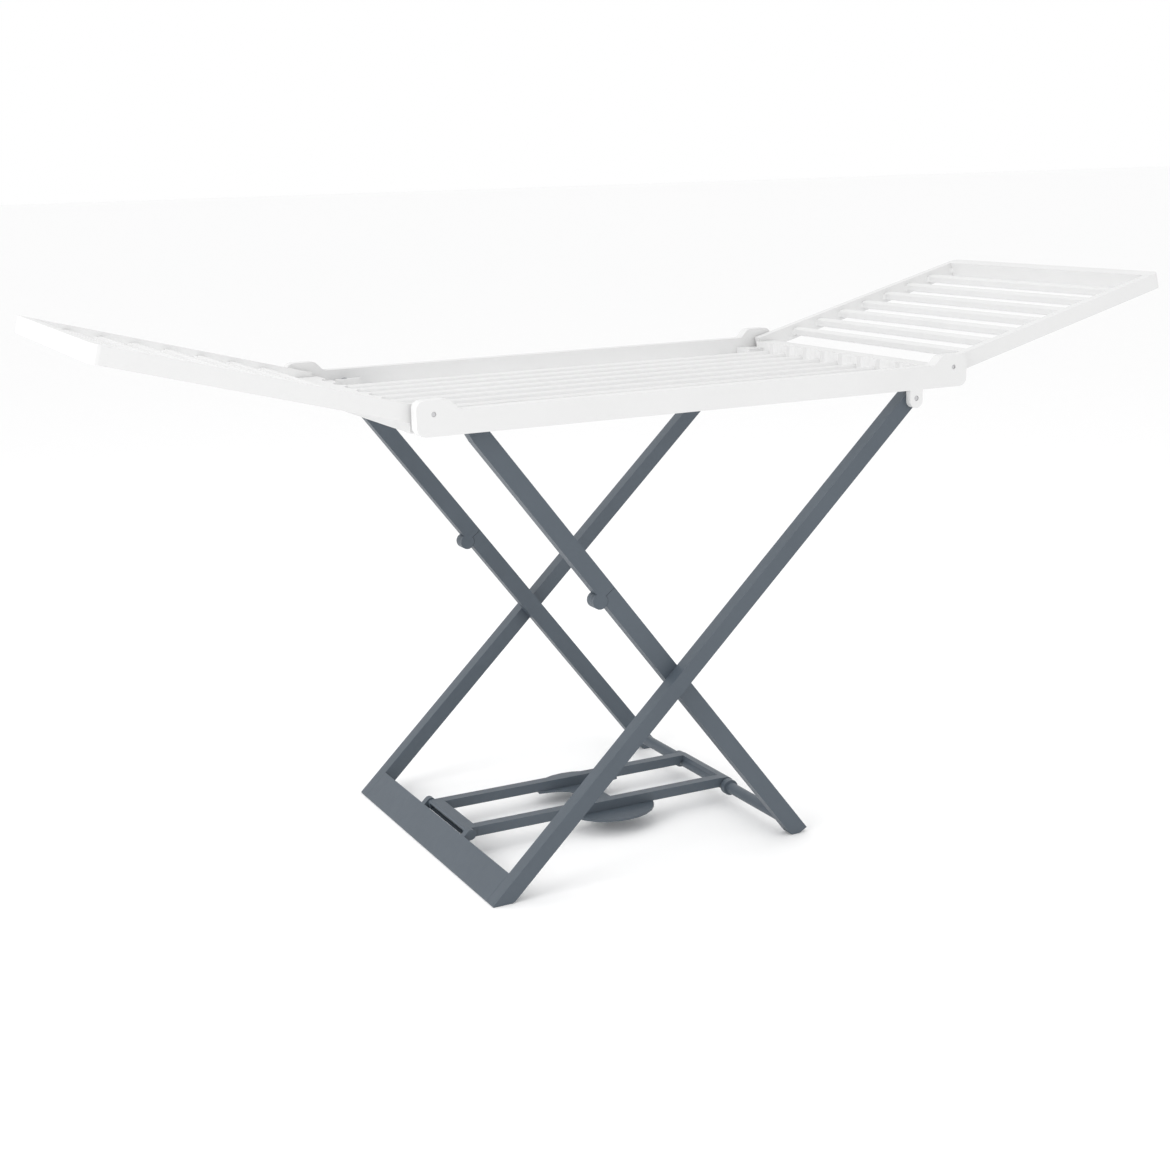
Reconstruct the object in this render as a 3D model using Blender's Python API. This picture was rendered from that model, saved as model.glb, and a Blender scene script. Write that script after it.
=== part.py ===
"""Free-standing winged clothes airer: a white resin drying rack on grey folding X legs.

Metres, +X along the rack, +Y to the rear, +Z up.  The origin is on the floor under the
middle of the rack.  The airer stands open, with both wings up and the brace clipped.
"""
import math

import bmesh
import bpy

# ---------------------------------------------------------------- driving sizes
GAP = 0.0003                  # left between pieces that touch
PLAY = 0.0005                 # left between pieces that turn or slide on each other
SIDES = (("front", -1), ("rear", 1))
ENDS = (("left", -1), ("right", 1))
BLIND_WALL = 0.003            # left in front of a blind pin hole
PIN_SEGMENTS = 12
ROUND_SEGMENTS = 20

# rack, the fixed middle of the drying surface
RACK_HALF_WIDTH = 0.300
RAIL_THICK = 0.020
RAIL_BOTTOM = 0.715
RAIL_TOP = 0.750
RAIL_HALF_LENGTH = 0.469
RAIL_CORNER = 0.013
EAR_FOOT = 0.402              # where the raised ear starts, from the middle
EAR_SHOULDER = 0.424
EAR_TOP = 0.7655
EAR_CORNER = 0.012
RACK_BAR_COUNT = 9
RACK_BAR_PITCH = 0.055
RACK_BAR_SIZE = (0.010, 0.012)    # width and height
BAR_CHAMFER = 0.0022
RACK_BAR_TOP = 0.730
END_PLATE_BOTTOM = 0.716
END_PLATE_TOP = 0.744
ARM_TOP = 0.734
END_PLATE_OUTER = 0.463
END_PLATE_INNER = 0.4253
END_PLATE_HALF_WIDTH = 0.257
SCALLOP_DEPTH = 0.012
FINGER_HALF_WIDTH = 0.006     # solid left beside each bar's end
ARM_OUTER = 0.415             # side arms that reach the rails
ARM_INNER = 0.395
ARM_ROOT = 0.235
STOP_TOP = 0.7328             # blocks the open wings rest against
CHEEK_RANGE = (-0.400, -0.357)    # cheeks beside the links' top pins
CHEEK_THICK = 0.005
CHEEK_FACE = 0.2415
CHEEK_TOP = 0.7385

# wings
WING_PIVOT = (0.4435, 0.746)
WING_TILT = math.radians(14.8)
WING_LENGTH = 0.465
WING_HALF_WIDTH = 0.2755
WING_RAIL_THICK = 0.016
WING_ABOVE = 0.007            # rail above and below the line through the pivot
WING_BELOW = 0.019
WING_HEEL = 0.010             # rail behind the pivot
WING_TIP_DEPTH = 0.022
WING_TIP_CORNER = 0.012
WING_BAR_COUNT = 7
WING_BAR_FIRST = 0.072
WING_BAR_PITCH = 0.053
WING_BAR_SIZE = (0.012, 0.014)    # width and height
WING_PIN_RADIUS = 0.0035

# outer legs, with the foot plate that joins them
OUTER_FOOT = (-0.3633, 0.0)
OUTER_PIVOT = (0.372, 0.702)
OUTER_FACE = 0.2885
OUTER_THICK = 0.0245
OUTER_DEPTH = 0.025
FOOT_CORNER = 0.0024
LUG_HALF_WIDTH = 0.0118
LUG_BOTTOM = 0.6865
LUG_INNER_FACE = 0.289
RACK_PIN_RADIUS = 0.004
CROSS_PIN_RADIUS = 0.005
PLATE_EDGE = 0.0425           # upper edge of the foot plate, along the leg
PLATE_THICK = 0.008

# inner legs, in two lengths with a knee hinge between
INNER_FOOT = (0.1815, 0.0)
LINK_PIVOT = (-0.3765, 0.727)
INNER_FACE = 0.2635
INNER_THICK = 0.021
INNER_DEPTH = 0.0284
SOLE = (0.1655, 0.179)        # part of the inner foot that touches the floor
SOLE_TOE_HEIGHT = 0.002
SOLE_HEEL_HEIGHT = 0.0076
KNEE_ALONG = 0.5645
KNEE_OUT = 0.0167             # knee axis outside the leg's lower face
KNUCKLE_RADIUS = 0.0125
KNEE_PIN_RADIUS = 0.003
LINK_END_RADIUS = 0.0105
LINK_TAPER = 0.030
LINK_PIN_RADIUS = 0.004
CROSSBAR = (0.1530, 0.0297)
CROSSBAR_RADIUS = 0.0095
COLLAR_RADIUS = 0.0135
COLLAR_INNER = 0.0795
COLLAR_WIDTH = 0.012

# brace that holds the feet apart
BRACE_HINGE_ALONG = 0.052     # on the outer leg's line
BRACE_HINGE_OUT = 0.004
BRACE_BOTTOM = 0.029
BRACE_TOP = 0.045
ROD_OUTER = 0.0775
ROD_WIDTH = 0.018
HINGE_BAR_LEFT = -0.3345
HINGE_BAR_RIGHT = -0.312
HINGE_SLOT_RIGHT = -0.318
HINGE_SLOT_BOTTOM = 0.0315
HINGE_SLOT_TOP = 0.0415
HINGE_CHEEK = 0.008
HINGE_ROD_RADIUS = 0.0035
FOOT_LUG_INNER = 0.079
FOOT_LUG_WIDTH = 0.012
FOOT_LUG_RADIUS = 0.0085
CLIP_START = 0.1395
CLIP_LIP_BOTTOM = 0.034
CLIP_BORE = 0.0101
CLIP_OUTER = 0.0145
CLIP_WAIST_START = 0.1455     # between the rods the clip starts here
GRIP_MIDDLE_X = -0.063
GRIP_THICK = 0.004
GRIP_HALF_LENGTH = 0.075      # along the rods
GRIP_HALF_WIDTH = 0.127       # across the rods
GRIP_WAIST = 0.020

WHITE = (0.80, 0.80, 0.79, 1.0)
GREY = (0.135, 0.160, 0.188, 1.0)
STEEL = (0.55, 0.56, 0.57, 1.0)


# --------------------------------------------------------------- side-view lines
class LegLine:
    """Line from a foot to a top pivot, with 'out' counted from it to the upper or lower left."""

    def __init__(self, foot, top):
        self.foot = foot
        self.length = math.dist(foot, top)
        self.run = (top[0] - foot[0]) / self.length
        self.rise = (top[1] - foot[1]) / self.length
        self.angle = math.degrees(math.atan2(self.rise, self.run))

    def at(self, along, out=0.0):
        return (self.foot[0] + along * self.run - out * self.rise,
                self.foot[1] + along * self.rise + out * self.run)

    def at_height(self, height, out):
        return self.at((height - self.foot[1] - out * self.run) / self.rise, out)


def crossing_of(first, second):
    """Point where two leg lines that start on the floor meet."""
    first_slope = first.run / first.rise
    second_slope = second.run / second.rise
    height = (second.foot[0] - first.foot[0]) / (first_slope - second_slope)
    return first.at_height(height, 0.0)


OUTER = LegLine(OUTER_FOOT, OUTER_PIVOT)
INNER = LegLine(INNER_FOOT, LINK_PIVOT)
CROSS = crossing_of(OUTER, INNER)
KNEE = INNER.at(KNEE_ALONG, KNEE_OUT)
BRACE_HINGE = OUTER.at(BRACE_HINGE_ALONG, BRACE_HINGE_OUT)
OUTER_BACK = OUTER_FACE - OUTER_THICK
INNER_BACK = INNER_FACE - INNER_THICK
RAIL_INNER_FACE = RACK_HALF_WIDTH - RAIL_THICK
PIN_END = RACK_HALF_WIDTH - 0.0015


# ------------------------------------------------------------------ mesh helpers
def clear_scene():
    for item in list(bpy.data.objects):
        bpy.data.objects.remove(item, do_unlink=True)


def make_material(name, colour, roughness, metallic):
    material = bpy.data.materials.new(name)
    material.use_nodes = True
    shader = material.node_tree.nodes["Principled BSDF"]
    shader.inputs["Base Color"].default_value = colour
    shader.inputs["Roughness"].default_value = roughness
    shader.inputs["Metallic"].default_value = metallic
    return material


def give_material(item, stuff):
    """White or grey resin, or steel: every piece has a material of its own."""
    colour, roughness, metallic = {"white": (WHITE, 0.40, 0.0), "grey": (GREY, 0.45, 0.0),
                                   "steel": (STEEL, 0.32, 1.0)}[stuff]
    item.data.materials.append(make_material(item.name + "_" + stuff, colour, roughness, metallic))


def arc(centre, radius, start, stop, steps):
    """Points of an arc between two angles in degrees, both ends included."""
    angles = [math.radians(start + (stop - start) * i / steps) for i in range(steps + 1)]
    return [(centre[0] + radius * math.cos(a), centre[1] + radius * math.sin(a)) for a in angles]


def circle(centre, radius, segments):
    return arc(centre, radius, 0, 360, segments)[:-1]


def extrude(name, outline, depth, place, origin):
    """Solid between two depths of a flat outline; place(u, v, depth) gives a world point."""
    low, high = sorted(depth)
    bm = bmesh.new()
    start = [bm.verts.new(place(u, v, low)) for u, v in outline]
    stop = [bm.verts.new(place(u, v, high)) for u, v in outline]
    bm.faces.new(start)
    bm.faces.new(stop)
    for i in range(len(outline)):
        j = (i + 1) % len(outline)
        bm.faces.new((start[i], start[j], stop[j], stop[i]))
    bmesh.ops.recalc_face_normals(bm, faces=bm.faces)
    bmesh.ops.translate(bm, verts=bm.verts, vec=[-v for v in origin])
    mesh = bpy.data.meshes.new(name)
    bm.to_mesh(mesh)
    bm.free()
    item = bpy.data.objects.new(name, mesh)
    item.location = origin
    bpy.context.scene.collection.objects.link(item)
    return item


def across(name, outline, y_range, origin=(0.0, 0.0, 0.0)):
    """Side-view outline (x, z) run across the width."""
    return extrude(name, outline, y_range, lambda u, v, d: (u, d, v), origin)


def upright(name, outline, z_range, origin=(0.0, 0.0, 0.0)):
    """Plan outline (x, y) run upward."""
    return extrude(name, outline, z_range, lambda u, v, d: (u, v, d), origin)


def lengthwise(name, outline, x_range, origin=(0.0, 0.0, 0.0)):
    """End-view outline (y, z) run along the length."""
    return extrude(name, outline, x_range, lambda u, v, d: (d, u, v), origin)


def rectangle(low, high):
    return [(low[0], low[1]), (high[0], low[1]), (high[0], high[1]), (low[0], high[1])]


def combine(item, tools, operation):
    """Cut the tools from a piece, or join them to it, and clear them away."""
    for tool in tools:
        step = item.modifiers.new(tool.name, "BOOLEAN")
        step.operation = operation
        step.solver = "EXACT"
        step.object = tool
    bpy.context.view_layer.update()
    evaluated = item.evaluated_get(bpy.context.evaluated_depsgraph_get())
    shaped = bpy.data.meshes.new_from_object(evaluated)
    item.modifiers.clear()
    item.data = shaped
    for tool in tools:
        bpy.data.objects.remove(tool, do_unlink=True)


def drum(centre, radius, y_range, segments=PIN_SEGMENTS):
    """Round tool across the width."""
    return across("tool", circle(centre, radius, segments), y_range)


def make_pin(name, centre, radius, y_range, stuff="steel"):
    item = across(name, circle(centre, radius, PIN_SEGMENTS), y_range, (centre[0], 0.0, centre[1]))
    give_material(item, stuff)


def shade_round():
    """Smooth shading over curves, with the real corners kept sharp."""
    for item in bpy.context.scene.objects:
        item.data.shade_smooth()
        item.data.set_sharp_from_angle(angle=math.radians(32))


# ------------------------------------------------------------------------- rack
def rail_outline():
    """Side rail with a raised ear at each end, as seen from the front."""
    steps = 5
    right = []
    for i in range(steps + 1):
        climb = (1 - math.cos(math.pi * i / steps)) / 2
        right.append((EAR_FOOT + (EAR_SHOULDER - EAR_FOOT) * i / steps, RAIL_TOP + (EAR_TOP - RAIL_TOP) * climb))
    right += arc((RAIL_HALF_LENGTH - EAR_CORNER, EAR_TOP - EAR_CORNER), EAR_CORNER, 90, 0, 4)
    right += arc((RAIL_HALF_LENGTH - RAIL_CORNER, RAIL_BOTTOM + RAIL_CORNER), RAIL_CORNER, 0, -90, 4)
    return right + [(-x, z) for x, z in reversed(right)]


def make_rack_rail(side, sign):
    name = "rack_rail_" + side
    rail = across(name, rail_outline(), (sign * RACK_HALF_WIDTH, sign * RAIL_INNER_FACE))
    lug_top = RAIL_BOTTOM + 0.004
    lug = [(OUTER_PIVOT[0] + LUG_HALF_WIDTH, lug_top), (OUTER_PIVOT[0] - LUG_HALF_WIDTH, lug_top)]
    lug += arc((OUTER_PIVOT[0], LUG_BOTTOM + LUG_HALF_WIDTH), LUG_HALF_WIDTH, 180, 360, 10)
    lug_piece = across("tool", lug, (sign * RACK_HALF_WIDTH, sign * LUG_INNER_FACE))
    combine(rail, [lug_piece], "UNION")
    through = (sign * (RAIL_INNER_FACE - 0.005), sign * (RACK_HALF_WIDTH + 0.005))
    holes = [drum(OUTER_PIVOT, RACK_PIN_RADIUS + GAP, through)]
    for _, end in ENDS:
        holes.append(drum((end * WING_PIVOT[0], WING_PIVOT[1]), WING_PIN_RADIUS + GAP, through))
    combine(rail, holes, "DIFFERENCE")
    give_material(rail, "white")


def end_plate_outline():
    """Plan of a right end plate: fingers meet the bars and scallops lie between them."""
    outline = [(END_PLATE_INNER, -ARM_ROOT), (END_PLATE_INNER, -END_PLATE_HALF_WIDTH),
               (END_PLATE_OUTER, -END_PLATE_HALF_WIDTH), (END_PLATE_OUTER, END_PLATE_HALF_WIDTH),
               (END_PLATE_INNER, END_PLATE_HALF_WIDTH), (END_PLATE_INNER, ARM_ROOT)]
    half_gap = RACK_BAR_PITCH / 2 - FINGER_HALF_WIDTH
    for index in range(RACK_BAR_COUNT - 1):
        middle = ((RACK_BAR_COUNT - 2) / 2 - index) * RACK_BAR_PITCH
        outline += [(END_PLATE_INNER + SCALLOP_DEPTH * x, middle + half_gap * y)
                    for y, x in arc((0.0, 0.0), 1.0, 0, 180, 6)]
    return outline


def arm_outline(way):
    """Plan of the low arm that joins a right end plate to one rail."""
    reach = RAIL_INNER_FACE - GAP
    inside = END_PLATE_INNER + 0.004
    corners = [(inside, ARM_ROOT), (ARM_INNER, ARM_ROOT), (ARM_INNER, reach), (ARM_OUTER, reach),
               (ARM_OUTER, END_PLATE_HALF_WIDTH), (inside, END_PLATE_HALF_WIDTH - 0.001)]
    return [(x, way * y) for x, y in corners]


def stop_face_x(height):
    """How far out a stop reaches at a height, just short of the open wing's heel."""
    drop = WING_HEEL + PLAY + (height - WING_PIVOT[1]) * math.sin(WING_TILT)
    return WING_PIVOT[0] - drop / math.cos(WING_TILT)


def make_end_plate(end, sign):
    name = "rack_end_" + end
    plan = [(sign * x, y) for x, y in end_plate_outline()]
    plate = upright(name, plan, (END_PLATE_BOTTOM, END_PLATE_TOP))
    arms = [upright("tool", [(sign * x, y) for x, y in arm_outline(way)], (END_PLATE_BOTTOM, ARM_TOP))
            for _, way in SIDES]
    combine(plate, arms, "UNION")
    stop = [(ARM_OUTER - 0.005, END_PLATE_BOTTOM), (stop_face_x(END_PLATE_BOTTOM), END_PLATE_BOTTOM),
            (stop_face_x(STOP_TOP), STOP_TOP), (ARM_OUTER - 0.005, STOP_TOP)]
    stop = [(sign * x, z) for x, z in stop]
    blocks = [across("tool", stop, (way * (END_PLATE_HALF_WIDTH - 0.003), way * (RAIL_INNER_FACE - GAP)))
              for _, way in SIDES]
    if end == "left":
        cheek = rectangle((CHEEK_RANGE[0], END_PLATE_BOTTOM), (CHEEK_RANGE[1], CHEEK_TOP))
        blocks += [across("tool", cheek, (way * CHEEK_FACE, way * (CHEEK_FACE - CHEEK_THICK))) for _, way in SIDES]
    combine(plate, blocks, "UNION")
    give_material(plate, "white")


def bar_section(middle, top, size):
    """Bar cross-section with its four corners taken off."""
    low = top - size[1]
    near = size[0] / 2
    far = near - BAR_CHAMFER
    return [(middle - far, low), (middle + far, low), (middle + near, low + BAR_CHAMFER),
            (middle + near, top - BAR_CHAMFER), (middle + far, top), (middle - far, top),
            (middle - near, top - BAR_CHAMFER), (middle - near, low + BAR_CHAMFER)]


def make_rack():
    for side, sign in SIDES:
        make_rack_rail(side, sign)
    for end, sign in ENDS:
        make_end_plate(end, sign)
    reach = END_PLATE_INNER - GAP
    for index in range(RACK_BAR_COUNT):
        middle = (index - (RACK_BAR_COUNT - 1) / 2) * RACK_BAR_PITCH
        section = bar_section(middle, RACK_BAR_TOP, RACK_BAR_SIZE)
        bar = lengthwise("rack_bar_" + str(index + 1), section, (-reach, reach))
        give_material(bar, "white")


# ------------------------------------------------------------------------ wings
def make_wing(end, sign):
    """One wing, made level beside its pivot and then tilted up about it."""
    prefix = "wing_" + end + "_"
    pieces = []
    inner_face = WING_HALF_WIDTH - WING_RAIL_THICK
    tip_start = WING_LENGTH - WING_TIP_DEPTH
    for side, way in SIDES:
        section = rectangle((-WING_HEEL, -WING_BELOW), (tip_start - GAP, WING_ABOVE))
        section = [(sign * x, z) for x, z in section]
        rail = across(prefix + "rail_" + side, section, (way * WING_HALF_WIDTH, way * inner_face))
        hole = drum((0.0, 0.0), WING_PIN_RADIUS + GAP, (way * (inner_face + 0.002), way * RACK_HALF_WIDTH))
        combine(rail, [hole], "DIFFERENCE")
        pieces.append(rail)
    tip = [(tip_start, WING_HALF_WIDTH), (tip_start, -WING_HALF_WIDTH)]
    corner = (WING_LENGTH - WING_TIP_CORNER, WING_HALF_WIDTH - WING_TIP_CORNER)
    tip += arc((corner[0], -corner[1]), WING_TIP_CORNER, -90, 0, 4)
    tip += arc(corner, WING_TIP_CORNER, 0, 90, 4)
    pieces.append(upright(prefix + "tip", [(sign * x, y) for x, y in tip], (-WING_BELOW, WING_ABOVE)))
    for index in range(WING_BAR_COUNT):
        middle = sign * (WING_BAR_FIRST + index * WING_BAR_PITCH)
        bar = across(prefix + "bar_" + str(index + 1), bar_section(middle, 0.0, WING_BAR_SIZE),
                     (GAP - inner_face, inner_face - GAP))
        pieces.append(bar)
    for piece in pieces:
        give_material(piece, "white")
        piece.location = (sign * WING_PIVOT[0], 0.0, WING_PIVOT[1])
        piece.rotation_euler = (0.0, -sign * WING_TILT, 0.0)
    for side, way in SIDES:
        make_pin("wing_pin_" + end + "_" + side, (sign * WING_PIVOT[0], WING_PIVOT[1]), WING_PIN_RADIUS,
                 (way * (inner_face + 0.0025), way * PIN_END))


# ------------------------------------------------------------------------- legs
def make_outer_legs():
    half = OUTER_DEPTH / 2
    outline = [(OUTER.at_height(0.0, half)[0] + FOOT_CORNER, 0.0),
               (OUTER.at_height(0.0, -half)[0] - FOOT_CORNER, 0.0), OUTER.at_height(FOOT_CORNER, -half)]
    outline += arc(OUTER_PIVOT, half, OUTER.angle - 90, OUTER.angle + 90, 8)
    outline.append(OUTER.at_height(FOOT_CORNER, half))
    for side, sign in SIDES:
        leg = across("outer_leg_" + side, outline, (sign * OUTER_FACE, sign * OUTER_BACK))
        rack_hole = drum(OUTER_PIVOT, RACK_PIN_RADIUS + GAP,
                         (sign * (OUTER_BACK + 0.0035), sign * (OUTER_FACE + 0.005)))
        cross_hole = drum(CROSS, CROSS_PIN_RADIUS + GAP,
                          (sign * (OUTER_BACK - 0.005), sign * (OUTER_FACE - 0.008)))
        combine(leg, [rack_hole, cross_hole], "DIFFERENCE")
        give_material(leg, "grey")
        make_pin("rack_pin_" + side, OUTER_PIVOT, RACK_PIN_RADIUS, (sign * (OUTER_BACK + 0.004), sign * PIN_END))
        make_pin("cross_pin_" + side, CROSS, CROSS_PIN_RADIUS,
                 (sign * (INNER_BACK + 0.003), sign * (OUTER_FACE - 0.0085)))


def make_foot_plate():
    """Plate between the outer feet, with two lugs that carry the brace's hinge rod."""
    top = OUTER_DEPTH / 2
    bottom = top - PLATE_THICK
    outline = [(OUTER.at_height(0.0, top)[0] + FOOT_CORNER, 0.0), OUTER.at_height(0.0, bottom),
               OUTER.at(PLATE_EDGE, bottom), OUTER.at(PLATE_EDGE, top), OUTER.at_height(FOOT_CORNER, top)]
    plate = across("foot_plate", outline, (GAP - OUTER_BACK, OUTER_BACK - GAP))
    root = PLATE_EDGE - FOOT_LUG_RADIUS
    tongue = [(root, bottom + GAP)]
    tongue += arc((BRACE_HINGE_ALONG, BRACE_HINGE_OUT), FOOT_LUG_RADIUS, -110, 90, 8)
    tongue.append((root, top))
    tongue = [OUTER.at(along, out) for along, out in tongue]
    lug_end = FOOT_LUG_INNER + FOOT_LUG_WIDTH
    lugs = [across("tool", tongue, (sign * FOOT_LUG_INNER, sign * lug_end)) for _, sign in SIDES]
    combine(plate, lugs, "UNION")
    hole_end = lug_end - BLIND_WALL
    combine(plate, [drum(BRACE_HINGE, HINGE_ROD_RADIUS + GAP, (-hole_end, hole_end))], "DIFFERENCE")
    give_material(plate, "grey")
    make_pin("brace_hinge_rod", BRACE_HINGE, HINGE_ROD_RADIUS, (PLAY - hole_end, hole_end - PLAY))


def knuckle_bands(sign):
    """Width of the leg in thirds: the outer bands belong to the link, the middle to the leg."""
    third = INNER_THICK / 3
    edges = [INNER_BACK, INNER_BACK + third, INNER_FACE - third, INNER_FACE]
    bands = [(edges[0] - PLAY, edges[1] - PLAY / 2), (edges[1] + PLAY / 2, edges[2] - PLAY / 2),
             (edges[2] + PLAY / 2, edges[3] + PLAY)]
    return [(sign * low, sign * high) for low, high in bands]


def within_leg(band):
    """Trim a band to the leg's own faces."""
    return [math.copysign(min(max(abs(y), INNER_BACK), INNER_FACE), y) for y in band]


def widen(band):
    """Room for a knuckle: its band plus the play on both faces."""
    low, high = sorted(band, key=abs)
    way = math.copysign(PLAY, low)
    return (low - way, high + way)


def shape_knee(item, own_bands, other_bands):
    """Give one side of the knee its knuckles, and room for those of the other side."""
    room = [drum(KNEE, KNUCKLE_RADIUS + PLAY, widen(band), ROUND_SEGMENTS) for band in other_bands]
    combine(item, room, "DIFFERENCE")
    knuckles = [drum(KNEE, KNUCKLE_RADIUS, within_leg(band), ROUND_SEGMENTS) for band in own_bands]
    combine(item, knuckles, "UNION")
    sign = math.copysign(1, own_bands[0][0])
    bore = drum(KNEE, KNEE_PIN_RADIUS + GAP, (sign * (INNER_BACK + BLIND_WALL), sign * (INNER_FACE - BLIND_WALL)))
    combine(item, [bore], "DIFFERENCE")


def make_inner_legs():
    half = INNER_DEPTH / 2
    lower = [INNER.at_height(SOLE_TOE_HEIGHT, half), (SOLE[0], 0.0), (SOLE[1], 0.0),
             INNER.at_height(SOLE_HEEL_HEIGHT, -half), INNER.at(KNEE_ALONG - GAP, -half),
             INNER.at(KNEE_ALONG - GAP, half)]
    shoulder = INNER.length - LINK_TAPER
    upper = [INNER.at(shoulder, -half), INNER.at(KNEE_ALONG + GAP, -half), INNER.at(KNEE_ALONG + GAP, half),
             INNER.at(shoulder, half)]
    upper += arc(LINK_PIVOT, LINK_END_RADIUS, INNER.angle + 90, INNER.angle - 90, 8)
    for side, sign in SIDES:
        width = (sign * INNER_FACE, sign * INNER_BACK)
        bands = knuckle_bands(sign)
        leg = across("inner_leg_" + side, lower, width, (CROSS[0], 0.0, CROSS[1]))
        shape_knee(leg, bands[1:2], bands[0::2])
        cross_hole = drum(CROSS, CROSS_PIN_RADIUS + GAP,
                          (sign * (INNER_BACK + 0.0025), sign * (INNER_FACE + 0.005)))
        combine(leg, [cross_hole], "DIFFERENCE")
        give_material(leg, "grey")
        link = across("upper_link_" + side, upper, width, (KNEE[0], 0.0, KNEE[1]))
        shape_knee(link, bands[0::2], bands[1:2])
        pin_hole = drum(LINK_PIVOT, LINK_PIN_RADIUS + GAP,
                        (sign * (INNER_BACK + 0.0025), sign * (INNER_FACE + 0.005)))
        combine(link, [pin_hole], "DIFFERENCE")
        give_material(link, "grey")
        make_pin("knee_pin_" + side, KNEE, KNEE_PIN_RADIUS, (sign * (INNER_BACK + BLIND_WALL + PLAY), sign * (INNER_FACE - BLIND_WALL - PLAY)))
        make_pin("link_pin_" + side, LINK_PIVOT, LINK_PIN_RADIUS,
                 (sign * (INNER_BACK + 0.003), sign * (RAIL_INNER_FACE - PLAY)))


def make_crossbar():
    """Round bar between the inner feet, with two collars that centre the brace's clip."""
    reach = INNER_BACK - GAP
    bar = across("inner_crossbar", circle(CROSSBAR, CROSSBAR_RADIUS, ROUND_SEGMENTS), (-reach, reach),
                 (CROSS[0], 0.0, CROSS[1]))
    collars = [drum(CROSSBAR, COLLAR_RADIUS, (sign * COLLAR_INNER, sign * (COLLAR_INNER + COLLAR_WIDTH)),
                    ROUND_SEGMENTS) for _, sign in SIDES]
    combine(bar, collars, "UNION")
    give_material(bar, "grey")


# ------------------------------------------------------------------------ brace
def make_hinge_bar(origin):
    corner = 0.003
    outline = [(HINGE_BAR_RIGHT, BRACE_BOTTOM), (HINGE_BAR_RIGHT, BRACE_TOP), (HINGE_BAR_LEFT + corner, BRACE_TOP),
               (HINGE_BAR_LEFT, BRACE_TOP - corner), (HINGE_BAR_LEFT, BRACE_BOTTOM + corner),
               (HINGE_BAR_LEFT + corner, BRACE_BOTTOM)]
    bar = across("brace_hinge_bar", outline, (-ROD_OUTER, ROD_OUTER), origin)
    slot = rectangle((HINGE_BAR_LEFT - 0.002, HINGE_SLOT_BOTTOM), (HINGE_SLOT_RIGHT, HINGE_SLOT_TOP))
    inside = ROD_OUTER - HINGE_CHEEK
    tools = [across("tool", slot, (-inside, inside)),
             drum(BRACE_HINGE, HINGE_ROD_RADIUS + GAP, (-ROD_OUTER - 0.002, ROD_OUTER + 0.002))]
    combine(bar, tools, "DIFFERENCE")
    give_material(bar, "grey")


def make_clip_bar(origin):
    """Bar that joins the rods' far ends and drops over the crossbar between the inner feet."""
    bore = arc(CROSSBAR, CLIP_BORE, 155, 0, 10)
    outline = [(CLIP_START + GAP, CLIP_LIP_BOTTOM), (bore[0][0], CLIP_LIP_BOTTOM)] + bore[1:]
    outline += arc(CROSSBAR, CLIP_OUTER, 0, 90, 6) + [(CLIP_START + GAP, BRACE_TOP)]
    bar = across("brace_clip_bar", outline, (-ROD_OUTER, ROD_OUTER), origin)
    between = ROD_OUTER - ROD_WIDTH
    notch = rectangle((CLIP_START - 0.002, BRACE_BOTTOM), (CLIP_WAIST_START, BRACE_TOP + 0.002))
    combine(bar, [across("tool", notch, (-between, between))], "DIFFERENCE")
    give_material(bar, "grey")


def grip_half_length(y):
    """Half of the grip plate's length along the rods, at a distance across them."""
    root = ROD_OUTER - ROD_WIDTH
    if y <= root:
        return GRIP_WAIST + (GRIP_HALF_LENGTH - GRIP_WAIST) * (y / root) ** 6
    return GRIP_HALF_LENGTH * math.sqrt(max(0.0, 1 - ((y - root) / (GRIP_HALF_WIDTH - root)) ** 2))


def make_grip(origin):
    """Oval lifting plate under the rods, waisted between them."""
    root = ROD_OUTER - ROD_WIDTH
    stations = [root * part for part in (0.0, 0.5, 0.7, 0.82, 0.92, 1.0)]
    stations += [root + (GRIP_HALF_WIDTH - root) * math.sin(math.radians(a)) for a in range(15, 91, 15)]
    quarter = [(grip_half_length(y), y) for y in stations]
    half = [(x, -y) for x, y in reversed(quarter)] + quarter[1:]
    outline = half + [(-x, y) for x, y in reversed(half) if x > 1e-6]
    outline = [(GRIP_MIDDLE_X + x, y) for x, y in outline]
    top = BRACE_BOTTOM - GAP
    grip = upright("brace_grip", outline, (top - GRIP_THICK, top), origin)
    give_material(grip, "grey")


def make_brace():
    origin = (BRACE_HINGE[0], 0.0, BRACE_HINGE[1])
    make_hinge_bar(origin)
    make_clip_bar(origin)
    make_grip(origin)
    for side, sign in SIDES:
        rod = across("brace_rod_" + side, rectangle((HINGE_BAR_RIGHT + GAP, BRACE_BOTTOM), (CLIP_START, BRACE_TOP)),
                     (sign * ROD_OUTER, sign * (ROD_OUTER - ROD_WIDTH)), origin)
        give_material(rod, "grey")


def main():
    clear_scene()
    make_rack()
    for end, sign in ENDS:
        make_wing(end, sign)
    make_outer_legs()
    make_foot_plate()
    make_inner_legs()
    make_crossbar()
    make_brace()
    shade_round()


main()
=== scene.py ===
"""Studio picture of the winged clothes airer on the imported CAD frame."""
import math

import bmesh
import bpy
from mathutils import Matrix, Vector


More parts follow.
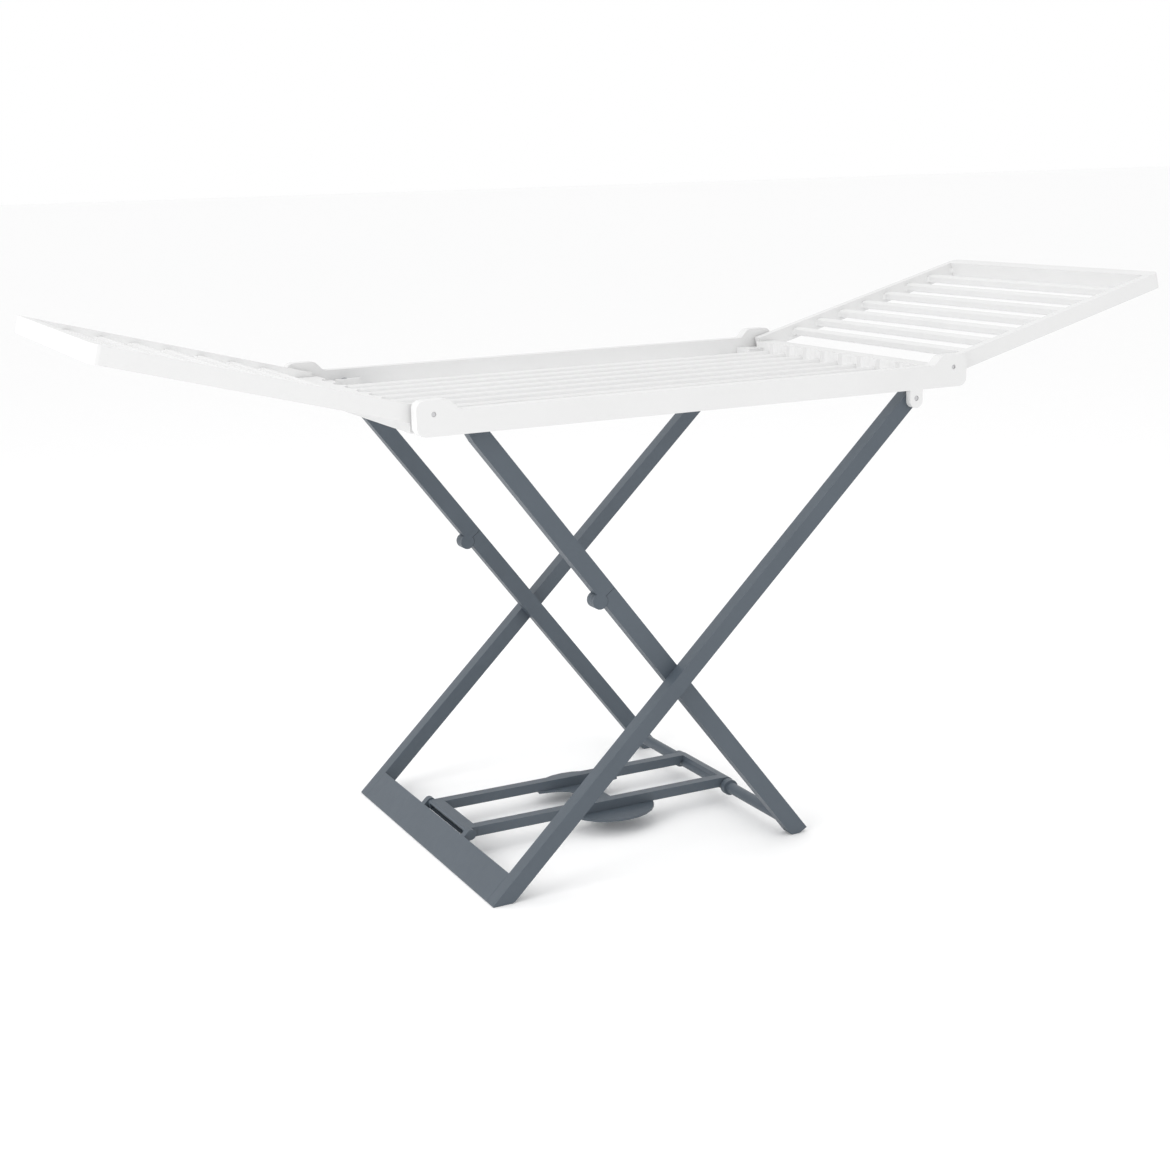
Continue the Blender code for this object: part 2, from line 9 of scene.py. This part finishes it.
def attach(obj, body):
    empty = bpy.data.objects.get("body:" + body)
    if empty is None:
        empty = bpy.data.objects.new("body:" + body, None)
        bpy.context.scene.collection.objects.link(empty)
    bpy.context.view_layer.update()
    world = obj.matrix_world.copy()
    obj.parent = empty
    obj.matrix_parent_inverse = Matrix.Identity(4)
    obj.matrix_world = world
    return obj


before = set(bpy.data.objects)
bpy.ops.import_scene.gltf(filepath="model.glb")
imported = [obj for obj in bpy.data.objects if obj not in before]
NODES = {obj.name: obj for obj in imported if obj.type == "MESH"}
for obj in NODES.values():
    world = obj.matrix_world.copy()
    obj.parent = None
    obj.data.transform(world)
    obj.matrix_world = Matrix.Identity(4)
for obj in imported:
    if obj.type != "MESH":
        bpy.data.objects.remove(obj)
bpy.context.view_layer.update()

# ---------------------------------------------------------------------- camera
CAMERA_PLACE = (-1.3516, -2.5854, 1.0852)
CAMERA_YAW = 26.367           # degrees to the right of straight along +Y
CAMERA_PITCH = 13.427         # degrees down
CAMERA_ROLL = -1.466
CAMERA_LENS_MM = 55.22
SENSOR_MM = 36.0

# --------------------------------------------------------------- floor and lights
FLOOR_HALF = 60.0
FLOOR_CELLS = 4               # faces along each side of the floor
FLOOR_DROP = 0.0005           # gap that keeps the floor clear of the feet
LIGHT_AIM = (0.0, 0.0, 0.5)
LIGHTS = (                    # name, place, width and height, power in watts
    ("key", (-3.3, -0.9, 2.0), (1.8, 1.8), 44.0),
    ("fill", (1.2, -3.2, 1.6), (2.4, 2.0), 9.0),
    ("top", (0.0, 0.6, 3.2), (3.0, 2.0), 7.0),
)
SKY_COLOUR = (1.0, 1.0, 1.0, 1.0)
SKY_STRENGTH = 1.0

# ------------------------------------------------------- colours and surface detail
WHITE_LIGHT = (0.735, 0.735, 0.735, 1.0)
WHITE_DARK = (0.690, 0.690, 0.688, 1.0)
WHITE_ROUGHNESS = 0.42
WHITE_GRAIN = 0.25
GREY_LIGHT = (0.082, 0.102, 0.124, 1.0)
GREY_DARK = (0.064, 0.081, 0.100, 1.0)
GREY_ROUGHNESS = 0.46
GREY_GRAIN = 0.55
FLOOR_LIGHT = (0.975, 0.975, 0.975, 1.0)
FLOOR_DARK = (0.965, 0.965, 0.967, 1.0)
FLOOR_ROUGHNESS = 0.8
FLOOR_GRAIN = 0.05

DRIFT_SCALE = 9.0             # slow change of a resin's colour
DRIFT_DETAIL = 4.0
STREAK_SCALE = 55.0           # flow streaks, seen in the gloss and as shallow sinks
STREAK_DETAIL = 5.0
STREAK_TWIST = 0.6
DULLER = 0.09                 # how far the streaks move the roughness up and down
GLOSSIER = 0.07
SINK_STRENGTH = 0.35
SINK_DEPTH = 0.0004
PEBBLE_SCALE = 1100.0         # fine grain of the mould
PEBBLE_DEPTH = 0.00012
RESIN_IOR = 1.49

STEEL_LIGHT = (0.62, 0.62, 0.63, 1.0)
STEEL_DARK = (0.45, 0.45, 0.46, 1.0)
STEEL_SMOOTHEST = 0.24
STEEL_ROUGHEST = 0.42
MARK_STRETCH = (1.0, 12.0, 1.0)   # packs the turning marks closely along the pins, which lie along Y
MARK_SCALE = 260.0
MARK_DETAIL = 3.0

# ----------------------------------------------------------------- rounded edges
PIN_EDGE = 0.0005
BAR_EDGE = 0.0010
WING_FRAME_EDGE = 0.0015
LONG_MEMBER_EDGE = 0.0024
OTHER_EDGE = 0.0013
LONG_MEMBERS = ("outer_leg", "inner_leg", "upper_link", "brace_rod", "rack_rail")
EDGE_SEGMENTS = 3
ROUNDED_FROM = math.radians(34)   # only edges sharper than this are rounded
SHARP_FROM = math.radians(50)

# ------------------------------------------ wings, measured in a wing's own flat frame
WING_SIDES = (("left", -1), ("right", 1))
WING_PIVOT = (0.4435, 0.746)  # side-view place of the right wing's pins; the left mirrors it
WING_TILT = math.radians(14.8)
WING_RAIL_FACE = 0.2595       # inner face of a wing's rails
WING_HALF_WIDTH = 0.2755
WING_ABOVE = 0.007            # a wing's rails above and below its pivot line
WING_BELOW = 0.019
WING_TIP_START = 0.443        # from the pivot to the tip rail's inner face
WING_BAR_FIRST = 0.072
WING_BAR_PITCH = 0.053
WING_BAR_COUNT = 7
WING_BAR_HALF = 0.006

WEB_LEG = 0.009               # a web's length along the bar and along the rail
WEB_TOP = -0.002
WEB_BOTTOM = -0.012
WEB_STEPS = 5                 # straight pieces in a web's curve
WEB_OVERLAP = 0.0008          # how deep a web's corner sits in the bar and the rail
SLEEVE_HALF_LENGTH = 0.0055
SLEEVE_INSET = 0.00004
SLEEVE_ROUND = 0.0015
PIECE_SHARP_FROM = math.radians(40)


# -------------------------------------------------------------------- materials
def start_material(name):
    """New material, with its nodes, links, shader and object coordinates."""
    material = bpy.data.materials.new(name)
    material.use_nodes = True
    nodes, links = material.node_tree.nodes, material.node_tree.links
    place = nodes.new("ShaderNodeTexCoord").outputs["Object"]
    return material, nodes, links, nodes["Principled BSDF"], place


def add_noise(nodes, links, place, scale, detail, twist=0.0):
    noise = nodes.new("ShaderNodeTexNoise")
    noise.inputs["Scale"].default_value = scale
    noise.inputs["Detail"].default_value = detail
    noise.inputs["Distortion"].default_value = twist
    links.new(place, noise.inputs["Vector"])
    return noise.outputs["Fac"]


def drive_colour(nodes, links, shader, value, dark, light):
    tone = nodes.new("ShaderNodeMix")
    tone.data_type = "RGBA"
    tone.inputs["A"].default_value = dark
    tone.inputs["B"].default_value = light
    links.new(value, tone.inputs["Factor"])
    links.new(tone.outputs["Result"], shader.inputs["Base Color"])


def drive_roughness(nodes, links, shader, value, lowest, highest):
    gloss = nodes.new("ShaderNodeMapRange")
    gloss.inputs["To Min"].default_value = lowest
    gloss.inputs["To Max"].default_value = highest
    links.new(value, gloss.inputs["Value"])
    links.new(gloss.outputs["Result"], shader.inputs["Roughness"])


def add_bump(nodes, links, height, strength, depth):
    bump = nodes.new("ShaderNodeBump")
    bump.inputs["Strength"].default_value = strength
    bump.inputs["Distance"].default_value = depth
    links.new(height, bump.inputs["Height"])
    return bump


def resin(name, light, dark, roughness, grain):
    """Moulded resin: slow colour drift, flow streaks, and a fine pebbled grain in the surface."""
    material, nodes, links, shader, place = start_material(name)
    drift = add_noise(nodes, links, place, DRIFT_SCALE, DRIFT_DETAIL)
    drive_colour(nodes, links, shader, drift, dark, light)

    streaks = add_noise(nodes, links, place, STREAK_SCALE, STREAK_DETAIL, STREAK_TWIST)
    drive_roughness(nodes, links, shader, streaks, roughness - GLOSSIER, roughness + DULLER)

    pebble = nodes.new("ShaderNodeTexVoronoi")
    pebble.inputs["Scale"].default_value = PEBBLE_SCALE
    links.new(place, pebble.inputs["Vector"])
    fine = add_bump(nodes, links, pebble.outputs["Distance"], grain, PEBBLE_DEPTH)
    sink = add_bump(nodes, links, streaks, SINK_STRENGTH, SINK_DEPTH)
    links.new(fine.outputs["Normal"], sink.inputs["Normal"])
    links.new(sink.outputs["Normal"], shader.inputs["Normal"])
    shader.inputs["IOR"].default_value = RESIN_IOR
    return material


def brushed_steel(name):
    """Pin steel with turning marks in rings along its length."""
    material, nodes, links, shader, place = start_material(name)
    shader.inputs["Metallic"].default_value = 1.0
    stretch = nodes.new("ShaderNodeMapping")
    stretch.inputs["Scale"].default_value = MARK_STRETCH
    links.new(place, stretch.inputs["Vector"])
    marks = add_noise(nodes, links, stretch.outputs["Vector"], MARK_SCALE, MARK_DETAIL)
    drive_colour(nodes, links, shader, marks, STEEL_DARK, STEEL_LIGHT)
    drive_roughness(nodes, links, shader, marks, STEEL_SMOOTHEST, STEEL_ROUGHEST)
    return material


def is_pin(name):
    return "pin" in name.split("_") or name == "brace_hinge_rod"


def paint_nodes():
    """Steel on the pins, white on the rack and wings, grey on the rest; gives the white material."""
    white = resin("white_resin", WHITE_LIGHT, WHITE_DARK, WHITE_ROUGHNESS, WHITE_GRAIN)
    grey = resin("grey_resin", GREY_LIGHT, GREY_DARK, GREY_ROUGHNESS, GREY_GRAIN)
    steel = brushed_steel("pin_steel")
    for name, item in NODES.items():
        if is_pin(name):
            look = steel
        elif name.startswith(("rack", "wing")):
            look = white
        else:
            look = grey
        item.data.materials.clear()
        item.data.materials.append(look)
    return white


# ------------------------------------------------------------------ soft corners
def edge_radius(name):
    """Moulded radius on a node's edges, sized to what the node is."""
    if is_pin(name):
        return PIN_EDGE
    if "bar" in name.split("_") and name.startswith(("rack_bar", "wing")):
        return BAR_EDGE
    if name.startswith("wing"):
        return WING_FRAME_EDGE
    if name.startswith(LONG_MEMBERS):
        return LONG_MEMBER_EDGE
    return OTHER_EDGE


def round_corners():
    for name, item in NODES.items():
        bevel = item.modifiers.new("moulded_edges", "BEVEL")
        bevel.width = edge_radius(name)
        bevel.segments = EDGE_SEGMENTS
        bevel.limit_method = "ANGLE"
        bevel.angle_limit = ROUNDED_FROM
        item.data.shade_smooth()
        item.data.set_sharp_from_angle(angle=SHARP_FROM)


# ------------------------------------------------------- small pieces on the wings
def wing_matrix(sign):
    """From the right wing's own flat frame to the wing on side `sign`; the left one is mirrored."""
    mirror = Matrix.Diagonal((sign, 1.0, 1.0, 1.0))
    tilt = Matrix.Rotation(-sign * WING_TILT, 4, "Y")
    place = Matrix.Translation((sign * WING_PIVOT[0], 0.0, WING_PIVOT[1]))
    return place @ tilt @ mirror


def add_wing_piece(name, bm, matrix, body, look):
    """Turn a mesh built in the wing's flat frame into an object that moves with the wing."""
    bmesh.ops.recalc_face_normals(bm, faces=bm.faces)
    mesh = bpy.data.meshes.new(name)
    bm.to_mesh(mesh)
    bm.free()
    mesh.transform(matrix)
    if matrix.determinant() < 0:
        mesh.flip_normals()
    mesh.shade_smooth()
    mesh.set_sharp_from_angle(angle=PIECE_SHARP_FROM)
    mesh.materials.append(look)
    piece = bpy.data.objects.new(name, mesh)
    bpy.context.scene.collection.objects.link(piece)
    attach(piece, body)


def add_web(bm, corner, toward_bar, toward_rail):
    """Concave web in the corner between a bar and a rail."""
    ring = [corner]
    for i in range(WEB_STEPS + 1):
        turn = math.pi / 2 * i / WEB_STEPS
        ring.append((corner[0] + toward_bar * WEB_LEG * (1 - math.sin(turn)),
                     corner[1] + toward_rail * WEB_LEG * (1 - math.cos(turn))))
    lower = [bm.verts.new((x, y, WEB_BOTTOM)) for x, y in ring]
    upper = [bm.verts.new((x, y, WEB_TOP)) for x, y in ring]
    bm.faces.new(lower)
    bm.faces.new(upper)
    for i in range(len(ring)):
        j = (i + 1) % len(ring)
        bm.faces.new((lower[i], lower[j], upper[j], upper[i]))


def make_wing_webs(end, sign, look):
    """Corner webs of one wing, where its bars and tip rail run into its side rails."""
    bm = bmesh.new()
    for way in (-1, 1):
        face = way * (WING_RAIL_FACE + WEB_OVERLAP)
        for index in range(WING_BAR_COUNT):
            middle = WING_BAR_FIRST + index * WING_BAR_PITCH
            for side in (-1, 1):
                corner = (middle + side * (WING_BAR_HALF - WEB_OVERLAP), face)
                add_web(bm, corner, side, -way)
        add_web(bm, (WING_TIP_START + WEB_OVERLAP, face), -1, -way)
    add_wing_piece("wing_" + end + "_webs", bm, wing_matrix(sign), "wing_" + end, look)


def make_wing_sleeves(end, sign, look):
    """Short flush sleeves over the joints between a wing's side rails and its tip rail."""
    bm = bmesh.new()
    size = (2 * SLEEVE_HALF_LENGTH, WING_HALF_WIDTH - WING_RAIL_FACE - 2 * SLEEVE_INSET,
            WING_ABOVE + WING_BELOW - 2 * SLEEVE_INSET)
    for way in (-1, 1):
        middle_y = way * (WING_RAIL_FACE + WING_HALF_WIDTH) / 2
        centre = (WING_TIP_START, middle_y, (WING_ABOVE - WING_BELOW) / 2)
        cube = bmesh.ops.create_cube(bm, size=1.0)
        bmesh.ops.scale(bm, vec=size, verts=cube["verts"])
        bmesh.ops.translate(bm, vec=centre, verts=cube["verts"])
    bmesh.ops.bevel(bm, geom=list(bm.edges), offset=SLEEVE_ROUND, segments=EDGE_SEGMENTS,
                    affect="EDGES")
    add_wing_piece("wing_" + end + "_sleeves", bm, wing_matrix(sign), "wing_" + end, look)


# ------------------------------------------------------------- stage and lights
def make_stage():
    mesh = bpy.data.meshes.new("studio_floor")
    bm = bmesh.new()
    bmesh.ops.create_grid(bm, x_segments=FLOOR_CELLS, y_segments=FLOOR_CELLS, size=FLOOR_HALF)
    bm.to_mesh(mesh)
    bm.free()
    floor = bpy.data.objects.new("studio_floor", mesh)
    bpy.context.scene.collection.objects.link(floor)
    floor.location = (0.0, 0.0, -FLOOR_DROP)
    paper = resin("floor_paper", FLOOR_LIGHT, FLOOR_DARK, FLOOR_ROUGHNESS, FLOOR_GRAIN)
    floor.data.materials.append(paper)


def make_area_light(name, place, size, power):
    data = bpy.data.lights.new(name, "AREA")
    data.shape = "RECTANGLE"
    data.size, data.size_y = size
    data.energy = power
    lamp = bpy.data.objects.new(name, data)
    lamp.location = place
    way = Vector(LIGHT_AIM) - Vector(place)
    lamp.rotation_euler = way.to_track_quat("-Z", "Y").to_euler()
    bpy.context.scene.collection.objects.link(lamp)


def make_lights():
    world = bpy.data.worlds.new("studio")
    world.use_nodes = True
    background = world.node_tree.nodes["Background"]
    background.inputs["Color"].default_value = SKY_COLOUR
    background.inputs["Strength"].default_value = SKY_STRENGTH
    bpy.context.scene.world = world
    for name, place, size, power in LIGHTS:
        make_area_light(name, place, size, power)


def make_camera():
    yaw, pitch, roll = (math.radians(v) for v in (CAMERA_YAW, CAMERA_PITCH, CAMERA_ROLL))
    ahead = Vector((math.sin(yaw) * math.cos(pitch), math.cos(yaw) * math.cos(pitch),
                    -math.sin(pitch)))
    level_right = Vector((math.cos(yaw), -math.sin(yaw), 0.0))
    level_up = level_right.cross(ahead)
    right = level_right * math.cos(roll) + level_up * math.sin(roll)
    up = level_up * math.cos(roll) - level_right * math.sin(roll)
    data = bpy.data.cameras.new("camera")
    data.lens = CAMERA_LENS_MM
    data.sensor_width = SENSOR_MM
    camera = bpy.data.objects.new("camera", data)
    turn = Matrix((right, up, -ahead)).transposed().to_4x4()
    camera.matrix_world = Matrix.Translation(CAMERA_PLACE) @ turn
    bpy.context.scene.collection.objects.link(camera)
    bpy.context.scene.camera = camera


bpy.context.scene.view_settings.view_transform = "Standard"
white_look = paint_nodes()
round_corners()
for end, sign in WING_SIDES:
    make_wing_webs(end, sign, white_look)
for end, sign in WING_SIDES:
    make_wing_sleeves(end, sign, white_look)
make_stage()
make_lights()
make_camera()
